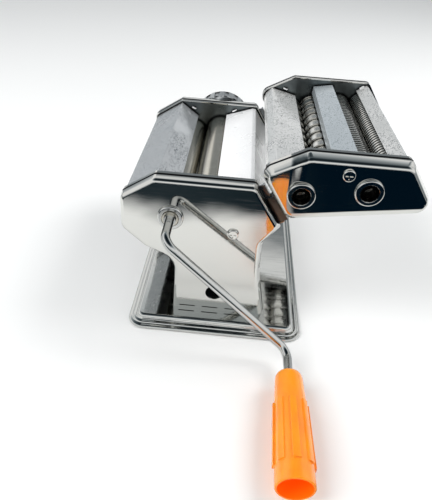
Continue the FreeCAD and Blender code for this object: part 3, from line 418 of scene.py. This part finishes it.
def seamed_cover(node, name, material):
    """A cover with a seam cut round its skirt; the loose ring left stands for the side plate's lip."""
    piece = smoothed_copy(node, name)
    low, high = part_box(node)
    side = 1 if low.y > 0 else -1
    start = low.y if side > 0 else high.y
    deselect()
    bpy.ops.mesh.primitive_cube_add(size=1.0)
    cutter = bpy.context.object
    cutter.data.transform(Matrix.Translation((0, start + side * (SEAM_START + SEAM / 2), 100 * MM))
                          @ Matrix.Diagonal((500 * MM, SEAM, 400 * MM, 1)))
    add_modifier(piece, "BOOLEAN", operation="DIFFERENCE", object=cutter, solver="EXACT")
    bpy.data.objects.remove(cutter)
    smooth(piece)
    stand_in(piece, node, material)
    # the seam's walls facing along Y take the near-black painted shadow
    piece.data.materials.append(seam_shadow_black)
    for face in piece.data.polygons:
        within = side * (face.center.y - start) - SEAM_START
        if -0.05 * MM < within < SEAM + 0.05 * MM and abs(face.normal.y) > 0.9:
            face.material_index = 1


seamed_cover("crank_side_cover", "mirror_cover_crank_side", cover_chrome)
seamed_cover("dial_side_cover", "mirror_cover_dial_side", cover_chrome)
seamed_cover("cutter_crank_side_cover", "mirror_head_cover_crank_side", head_chrome)
seamed_cover("cutter_far_side_cover", "mirror_head_cover_far_side", cover_chrome)
give(["cover_screws", "cutter_screws"], cover_chrome)


# ---- socket bushes, bearings and sliding blocks ----------------------------------------------
# Turned steel bushes pressed into the covers, and plain bearings behind them, greased black.
bush_steel = wavy_chrome("turned_bush_steel", "C9CAC8", 0.08, 0.05, 40.0)[0]
for node, name in (("crank_socket_bush", "turned_crank_bush"),
                   ("cutter_socket_bushes", "turned_cutter_bushes")):
    stand_in(smoothed_copy(node, name, 0.8 * MM, 4), node, bush_steel)
nylon, nylon_tree, nylon_shader, nylon_place = finish("greased_black_nylon", "202224", 0.0, 0.45)
nylon_grease = put(nylon_tree, "ShaderNodeTexNoise", {"Scale": 300.0, "Detail": 2.0}, {"Vector": nylon_place})
nylon_film = put(nylon_tree, "ShaderNodeMapRange", {"To Min": 0.25, "To Max": 0.6},
                 {"Value": nylon_grease.outputs["Fac"]})
nylon_tree.links.new(nylon_film.outputs[0], nylon_shader.inputs["Roughness"])
give(["roller_bushes", "eccentric_bushes", "cutter_bearings", "grip_washer"], nylon)


# ---- hopper sheets and cutter head sheets ----------------------------------------------------
# Folded from polished steel sheet, their crests and skirts bent over a small radius.  The rolled
# surface is speckled with fine pits that the polish did not reach.
FOLD = 0.35 * MM


def speckled_sheet(name, colour, pit_colour, roughness, metallic):
    material, tree, shader, place = finish(name, colour, metallic, roughness)
    cells = put(tree, "ShaderNodeTexVoronoi", {"Scale": 1100.0}, {"Vector": place})
    chance = put(tree, "ShaderNodeSeparateColor", links={"Color": cells.outputs["Color"]})
    patch = put(tree, "ShaderNodeTexNoise", {"Scale": 34.0, "Detail": 4.0}, {"Vector": place})
    size = put(tree, "ShaderNodeMath", {"operation": "MULTIPLY"},
               {0: chance.outputs["Red"], 1: patch.outputs["Fac"]})
    pit = put(tree, "ShaderNodeMath", {"operation": "SUBTRACT", "use_clamp": True},
              {0: size.outputs[0], 1: cells.outputs["Distance"]})
    deep = put(tree, "ShaderNodeMapRange", {"From Max": 0.05}, {"Value": pit.outputs[0]})
    dull = put(tree, "ShaderNodeMapRange", {"From Min": 0.35, "From Max": 0.7, "To Min": roughness,
                                            "To Max": roughness + 0.16}, {"Value": patch.outputs["Fac"]})
    tint = put(tree, "ShaderNodeMix", {"data_type": "RGBA", 6: linear(colour), 7: linear(pit_colour)},
               {0: deep.outputs[0]})
    tree.links.new(tint.outputs[2], shader.inputs["Base Color"])
    tree.links.new(dull.outputs[0], shader.inputs["Roughness"])
    dent = put(tree, "ShaderNodeBump", {"Strength": 0.35, "Distance": 0.08 * MM, "invert": True},
               {"Height": deep.outputs[0]})
    sag = put(tree, "ShaderNodeBump", {"Strength": 0.35, "Distance": 1.2 * MM},
              {"Height": patch.outputs["Fac"], "Normal": dent.outputs["Normal"]})
    tree.links.new(sag.outputs["Normal"], shader.inputs["Normal"])
    return material


# painted shade and light: both hopper sheets are the same polished steel, but the left one's copy is painted
# grey as shade and the right one's painted white, with a mostly diffuse base, as light; the lugs share the
# white copy
sheet_steel_painted_shade = speckled_sheet("pitted_sheet_painted_darker", "C6C9CB", "5C646A", 0.14, 0.60)
sheet_steel_painted_light = speckled_sheet("clean_sheet_painted_white", "FFFFFF", "F4F4F4", 0.25, 0.2)
head_steel = speckled_sheet("lightly_pitted_head_sheet", "E8E8E6", "74787A", 0.14, 0.50)
blue_steel = speckled_sheet("cool_toned_divider", "CDD4D8", "8C969C", 0.14, 0.50)
for node, name, steel in (("left_hopper_sheet", "folded_left_hopper_sheet", sheet_steel_painted_shade),
                          ("right_hopper_sheet", "folded_right_hopper_sheet", sheet_steel_painted_light),
                          ("cutter_left_sheet", "folded_head_left_sheet", head_steel),
                          ("cutter_divider", "folded_head_divider", blue_steel),
                          ("cutter_right_sheet", "folded_head_right_sheet", head_steel)):
    stand_in(smoothed_copy(node, name, FOLD), node, steel)


# ---- smooth rollers, gears and scrapers ------------------------------------------------------
# Ground and nickel-plated rollers with faint rings left by the grinding wheel, sintered gears on
# their ends and spring-steel scrapers below.
def ringed_steel(name, dark, light, roughness, rings_per_metre):
    """Turned steel: its marks run round the axis, so the pattern changes only along Y."""
    material, tree, shader, place = finish(name, light, 1.0, roughness)
    along = put(tree, "ShaderNodeMapping", {"Scale": (1.0, rings_per_metre, 1.0)}, {"Vector": place})
    rings = put(tree, "ShaderNodeTexNoise", {"Scale": 1.0, "Detail": 6.0, "Roughness": 0.7},
                {"Vector": along.outputs["Vector"]})
    tree.links.new(put(tree, "ShaderNodeValToRGB", {"stops": [(0.3, dark), (0.65, light)]},
                       {"Fac": rings.outputs["Fac"]}).outputs["Color"], shader.inputs["Base Color"])
    polish = put(tree, "ShaderNodeMapRange", {"To Min": roughness * 0.7, "To Max": roughness * 1.5},
                 {"Value": rings.outputs["Fac"]})
    tree.links.new(polish.outputs[0], shader.inputs["Roughness"])
    groove = put(tree, "ShaderNodeBump", {"Strength": 0.15, "Distance": 0.1 * MM},
                 {"Height": rings.outputs["Fac"]})
    tree.links.new(groove.outputs["Normal"], shader.inputs["Normal"])
    return material


roller_nickel = ringed_steel("ground_nickel_roller", "B5B0A2", "DDD9CE", 0.20, 900.0)
give(["fixed_roller", "movable_roller"], roller_nickel)
cutter_steel = ringed_steel("milled_cutter_steel", "C4C3BE", "F2F1EC", 0.20, 1500.0)
# painted shade: ambient occlusion darkens the bottoms of the grooves, and the stubs in the sockets beyond the
# cover are painted near black
cutter_tree = cutter_steel.node_tree
cutter_shader = cutter_tree.nodes["Principled BSDF"]
painted_groove_shade_ao = put(cutter_tree, "ShaderNodeAmbientOcclusion", {"Distance": 1.6 * MM, "samples": 8})
groove_depth = put(cutter_tree, "ShaderNodeMapRange", {"From Min": 0.50, "From Max": 0.90},
                   {"Value": painted_groove_shade_ao.outputs["AO"]})
cutter_axes = put(cutter_tree, "ShaderNodeSeparateXYZ",
                  links={"Vector": cutter_tree.nodes["Texture Coordinate"].outputs["Object"]})
past_cover = put(cutter_tree, "ShaderNodeMath", {"operation": "GREATER_THAN", 1: -0.086},
                 {0: cutter_axes.outputs["Y"]})
cutter_unshadowed = put(cutter_tree, "ShaderNodeMath", {"operation": "MULTIPLY"},
                  {0: groove_depth.outputs[0], 1: past_cover.outputs[0]})
cutter_painted_shade_tone = put(cutter_tree, "ShaderNodeMix", {"data_type": "RGBA", 6: linear("1A1917")},
             {0: cutter_unshadowed.outputs[0], 7: cutter_shader.inputs["Base Color"].links[0].from_socket})
cutter_tree.links.new(cutter_painted_shade_tone.outputs[2], cutter_shader.inputs["Base Color"])
give(["wide_cutter_driven", "wide_cutter_idle", "fine_cutter_driven", "fine_cutter_idle"], cutter_steel)
gear_steel = ringed_steel("oiled_sintered_gear", "3C3B39", "6A6864", 0.42, 2500.0)
give(["fixed_roller_gear", "movable_roller_gear", "wide_gear_driven", "wide_gear_idle", "fine_gear_driven",
      "fine_gear_idle"], gear_steel)
spring_steel = ringed_steel("tempered_spring_steel", "6F7275", "A3A6A8", 0.22, 600.0)
give(["fixed_roller_scraper", "movable_roller_scraper", "wide_combs", "fine_combs", "guide_rails"],
     spring_steel)
give(["cutter_head_hooks"], zinc)

# ---- crank ------------------------------------------------------------------------------------
# One chromed steel bar, bent twice, with a hollow orange polypropylene grip that turns on its end.
# The grip is injection-moulded: a plain neck, eight broad ribs, a plain collar and an open end.
# It has no bore for the bar, which passes through its solid end.
rod_chrome = wavy_chrome("chromed_crank_bar", "C9CAC8", 0.05, 0.03, 30.0)[0]
rod_shader = rod_chrome.node_tree.nodes["Principled BSDF"]
rod_shader.inputs["Specular Tint"].default_value = linear("5A6266")
give(["crank_rod"], rod_chrome)

grip_low, grip_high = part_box("crank_grip")
GRIP_AXIS = ((grip_low.x + grip_high.x) / 2, (grip_low.z + grip_high.z) / 2)
GRIP_SIDES = 64
RIB_HEIGHT = 1.35 * MM
# outline from the rod end to the open end: (distance from the rod end, radius)
GRIP_SKIN = [(0.0, 4.6), (0.5, 7.2), (1.8, 8.9), (4.0, 9.75), (7.0, 10.0), (27.5, 10.9), (28.0, 10.95),
             (73.0, 12.15), (73.5, 12.2), (85.2, 12.35), (86.0, 11.9)]
MOUTH_WALL = 1.5                        # mm, wall of the open end
MOUTH = GRIP_SKIN[-1][0]                # mm, the open end's distance from the rod end
HOLLOW = [(80.0, 10.75), (26.0, 9.0)]   # (distance from the rod end, radius) down the hollow, mm
RIB_START = 27.5 * MM
RIB_END = 73.2 * MM

deselect()
bpy.ops.mesh.primitive_circle_add(vertices=GRIP_SIDES, radius=GRIP_SKIN[0][1] * MM, fill_type="NGON")
grip = bpy.context.object
grip.name = "ribbed_hollow_grip"
grip.data.transform(Matrix.Translation((GRIP_AXIS[0], grip_high.y, GRIP_AXIS[1]))
                    @ Matrix.Rotation(math.radians(90), 4, "X"))
bpy.ops.object.mode_set(mode="EDIT")
bpy.ops.mesh.select_all(action="SELECT")
centre = Vector((GRIP_AXIS[0], grip_high.y, GRIP_AXIS[1]))
before = GRIP_SKIN[0]
for distance, radius in GRIP_SKIN[1:] + [(MOUTH, GRIP_SKIN[-2][1] - MOUTH_WALL)]:
    bpy.ops.mesh.extrude_region_move(TRANSFORM_OT_translate={"value": (0, -(distance - before[0]) * MM, 0)})
    bpy.ops.transform.resize(value=(radius / before[1], 1, radius / before[1]),
                             center_override=(centre.x, centre.y, centre.z))
    before = (distance, radius)
for distance, radius in HOLLOW:
    bpy.ops.mesh.extrude_region_move(TRANSFORM_OT_translate={"value": (0, (before[0] - distance) * MM, 0)})
    bpy.ops.transform.resize(value=(radius / before[1], 1, radius / before[1]),
                             center_override=(centre.x, centre.y, centre.z))
    before = (distance, radius)
bpy.ops.object.mode_set(mode="OBJECT")


def angle_round_grip(point):
    return math.degrees(math.atan2(point.z - centre.z, point.x - centre.x)) % 360


for face in grip.data.polygons:
    out = math.hypot(face.center.x - centre.x, face.center.z - centre.z)
    along = centre.y - face.center.y
    share = (angle_round_grip(face.center) + 11.25) % 45
    on_wall = RIB_START < along < RIB_END and out > 10.5 * MM and abs(face.normal.y) < 0.5
    face.select = on_wall and share < 22.5
bpy.ops.object.mode_set(mode="EDIT")
bpy.ops.mesh.select_mode(type="FACE")
bpy.ops.mesh.extrude_region_shrink_fatten(TRANSFORM_OT_shrink_fatten={"value": RIB_HEIGHT})
bpy.ops.mesh.select_all(action="SELECT")
bpy.ops.mesh.remove_doubles(threshold=0.001 * MM)
bpy.ops.mesh.normals_make_consistent(inside=False)
bpy.ops.object.mode_set(mode="OBJECT")
add_modifier(grip, "BEVEL", width=0.35 * MM, segments=3, limit_method="ANGLE", angle_limit=math.radians(40))
smooth(grip, 40)
add_modifier(grip, "WEIGHTED_NORMAL", keep_sharp=True)

# glossy polypropylene, slightly translucent, with the soft ripple of a cooled moulding
orange, orange_tree, orange_shader, orange_place = finish("orange_polypropylene", "FF961A", 0.0, 0.24)
orange_shader.inputs["Coat Weight"].default_value = 0.35
orange_shader.inputs["Coat Roughness"].default_value = 0.12
orange_shader.inputs["Subsurface Weight"].default_value = 0.25
orange_shader.inputs["Subsurface Radius"].default_value = (1.0, 0.35, 0.08)
orange_shader.inputs["Subsurface Scale"].default_value = 2.5 * MM
orange_flow = put(orange_tree, "ShaderNodeTexNoise", {"Scale": 45.0, "Detail": 3.0}, {"Vector": orange_place})
orange_tree.links.new(put(orange_tree, "ShaderNodeValToRGB", {"stops": [(0.3, "FF8E1E"), (0.7, "FFA01A")]},
                          {"Fac": orange_flow.outputs["Fac"]}).outputs["Color"],
                      orange_shader.inputs["Base Color"])
orange_grain = put(orange_tree, "ShaderNodeTexNoise", {"Scale": 1800.0, "Detail": 2.0},
                   {"Vector": orange_place})
orange_skin = put(orange_tree, "ShaderNodeBump", {"Strength": 0.12, "Distance": 0.1 * MM},
                  {"Height": orange_grain.outputs["Fac"]})
orange_tree.links.new(orange_skin.outputs["Normal"], orange_shader.inputs["Normal"])
# painted light: the bore takes a redder orange than the outside and an emission glow, strongest at the open
# end, standing in for light through the thin wall
glow, glow_tree, glow_shader, glow_place = finish("orange_bore_painted_glow", "FF6A08", 0.0, 0.4)
glow_axes = put(glow_tree, "ShaderNodeSeparateXYZ", links={"Vector": glow_place})
glow_depth = put(glow_tree, "ShaderNodeMapRange", {"From Min": -0.242, "From Max": -0.19, "To Min": 0.55,
                                                   "To Max": 0.1}, {"Value": glow_axes.outputs["Y"]})
glow_tree.links.new(glow_depth.outputs[0], glow_shader.inputs["Emission Strength"])
glow_shader.inputs["Emission Color"].default_value = linear("FF4E00")
stand_in(grip, "crank_grip", orange)
grip.data.materials.append(glow)
for face in grip.data.polygons:
    reach = Vector((face.center.x - centre.x, 0, face.center.z - centre.z))
    deep_inside = reach.length < 11.2 * MM and centre.y - face.center.y > 26.0 * MM
    if deep_inside and reach.normalized().dot(face.normal) < -0.3:
        face.material_index = 1


# ---- thickness dial --------------------------------------------------------------------------
# A die-cast knob, chrome-plated, that is pulled out and turned to set the roller gap.  Its rim is
# fluted for the fingers and its face carries the numbers of the nine steps.  It is solid round its
# shaft.
dial_low, dial_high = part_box("thickness_dial")
DIAL_AXIS = Vector(((dial_low.x + dial_high.x) / 2, 0, (dial_low.z + dial_high.z) / 2))
DIAL_R = (dial_high.x - dial_low.x) / 2
DIAL_DEPTH = dial_high.y - dial_low.y
FLUTES = 18
DIAL_SIDES = FLUTES * 6
FLUTE_DEPTH = 1.1 * MM
FLUTE_SHARE = 0.45                      # of each pitch
DIAL_FACE = [(2.5, 0.0), (0.8, -1.2), (8.0, 0.0), (0.8, 1.4), (6.0, 0.3)]   # (inwards, out), mm
NUMERAL_HEIGHT = 6.0 * MM
NUMERAL_INSET = 8.0 * MM                # from the rim to the numerals' centres
FIRST_NUMERAL = -120                    # degrees
NUMERAL_STEP = 30

deselect()
bpy.ops.mesh.primitive_cylinder_add(vertices=DIAL_SIDES, radius=DIAL_R, depth=DIAL_DEPTH)
dial = bpy.context.object
dial.name = "fluted_thickness_dial"
dial.data.transform(Matrix.Translation((DIAL_AXIS.x, (dial_low.y + dial_high.y) / 2, DIAL_AXIS.z))
                    @ Matrix.Rotation(math.radians(90), 4, "X"))
for face in dial.data.polygons:
    angle = math.degrees(math.atan2(face.center.z - DIAL_AXIS.z, face.center.x - DIAL_AXIS.x))
    angle = angle % (360 / FLUTES)
    face.select = abs(face.normal.y) < 0.5 and angle < 360 / FLUTES * FLUTE_SHARE
bpy.ops.object.mode_set(mode="EDIT")
bpy.ops.mesh.select_mode(type="FACE")
bpy.ops.mesh.extrude_region_shrink_fatten(TRANSFORM_OT_shrink_fatten={"value": -FLUTE_DEPTH})
bpy.ops.object.mode_set(mode="OBJECT")
for face in dial.data.polygons:
    at_front = abs(face.center.y - dial_high.y) < 0.1 * MM
    face.select = abs(face.normal.y) > 0.9 and at_front and len(face.vertices) > 12
bpy.ops.object.mode_set(mode="EDIT")
for inwards, out in DIAL_FACE:
    bpy.ops.mesh.inset(thickness=inwards * MM, depth=out * MM)
bpy.ops.mesh.select_all(action="SELECT")
bpy.ops.mesh.normals_make_consistent(inside=False)
bpy.ops.object.mode_set(mode="OBJECT")
add_modifier(dial, "BEVEL", width=0.5 * MM, segments=3, limit_method="ANGLE", angle_limit=math.radians(35))
smooth(dial)
add_modifier(dial, "WEIGHTED_NORMAL", keep_sharp=True)
dial_metal = wavy_chrome("satin_die_cast_dial", "C4C7C8", 0.36, 0.05, 60.0)[0]
stand_in(dial, "thickness_dial", dial_metal)
give(["dial_shaft", "dial_index_plate"], dial_metal)

numeral_ink, ink_tree, ink_shader, ink_place = finish("black_numeral_enamel", "141516", 0.0, 0.4)
ink_speck = put(ink_tree, "ShaderNodeTexNoise", {"Scale": 2500.0}, {"Vector": ink_place})
ink_tree.links.new(put(ink_tree, "ShaderNodeValToRGB", {"stops": [(0.3, "101112"), (0.8, "242628")]},
                       {"Fac": ink_speck.outputs["Fac"]}).outputs["Color"],
                   ink_shader.inputs["Base Color"])
numerals = []
for step in range(9):
    deselect()
    bpy.ops.object.text_add()
    numeral = bpy.context.object
    numeral.data.body = str(step + 1)
    numeral.data.size = NUMERAL_HEIGHT
    numeral.data.align_x = "CENTER"
    numeral.data.align_y = "CENTER"
    numeral.data.extrude = 0.15 * MM
    bpy.ops.object.convert(target="MESH")
    numeral = bpy.context.object
    turn = math.radians(FIRST_NUMERAL + NUMERAL_STEP * step)
    numeral.data.transform(Matrix.Translation((DIAL_AXIS.x, dial_high.y - 1.1 * MM, DIAL_AXIS.z))
                           @ Matrix.Rotation(turn, 4, "Y")
                           @ Matrix.Translation((0, 0, DIAL_R - NUMERAL_INSET))
                           @ Matrix.Rotation(math.radians(180), 4, "Z")
                           @ Matrix.Rotation(math.radians(90), 4, "X"))
    numerals.append(numeral)
deselect()
for numeral in numerals:
    numeral.select_set(True)
bpy.context.view_layer.objects.active = numerals[0]
bpy.ops.object.join()
numerals[0].name = "dial_numerals"
numerals[0].data.materials.append(numeral_ink)
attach(numerals[0], "dial_knob")


# ---- sheet lugs ------------------------------------------------------------------------------
# Each hopper sheet ends in a lug that passes through the side plate and is twisted to lock it.
LUG_SIZE = (3.4 * MM, 1.6 * MM, 0.9 * MM)
LUG_OUT = LUG_SIZE[1] / 2
FLANGE_DEPTH = 6.6 * MM


def lug(name, body, x, y, z, tilt):
    deselect()
    bpy.ops.mesh.primitive_cube_add(size=1.0)
    piece = bpy.context.object
    piece.name = name
    piece.data.transform(Matrix.Translation((x * MM, y, z * MM)) @ Matrix.Rotation(math.radians(tilt), 4, "Y")
                         @ Matrix.Diagonal((*LUG_SIZE, 1)))
    for face in piece.data.polygons:
        face.select = face.normal.x > 0.5
    bpy.ops.object.mode_set(mode="EDIT")
    bpy.ops.mesh.select_mode(type="FACE")
    bpy.ops.mesh.inset(thickness=0.15 * MM, depth=0.0)
    bpy.ops.mesh.extrude_region_move(TRANSFORM_OT_translate={"value": (0.9 * MM, 0, 0.5 * MM)})
    bpy.ops.object.mode_set(mode="OBJECT")
    add_modifier(piece, "BEVEL", width=0.2 * MM, segments=2)
    smooth(piece)
    # the lugs take the sheet steel copy painted white as light
    piece.data.materials.append(sheet_steel_painted_light)
    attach(piece, body)


frame_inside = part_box("dial_side_plate")[1].y - FLANGE_DEPTH
head_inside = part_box("cutter_far_side_plate")[0].y
for side, place in (("far", 1), ("near", -1)):
    lug("hopper_lug_left_" + side, "machine", -39.4, place * (frame_inside - LUG_OUT), 119.9, 25)
    lug("hopper_lug_right_" + side, "machine", -0.4, place * (frame_inside - LUG_OUT), 120.3, -30)
    lug("head_lug_left_" + side, "cutter_head", 45.8, place * (head_inside - LUG_OUT), 144.4, 20)
    lug("head_lug_right_" + side, "cutter_head", 116.0, place * (head_inside - LUG_OUT), 151.4, -40)
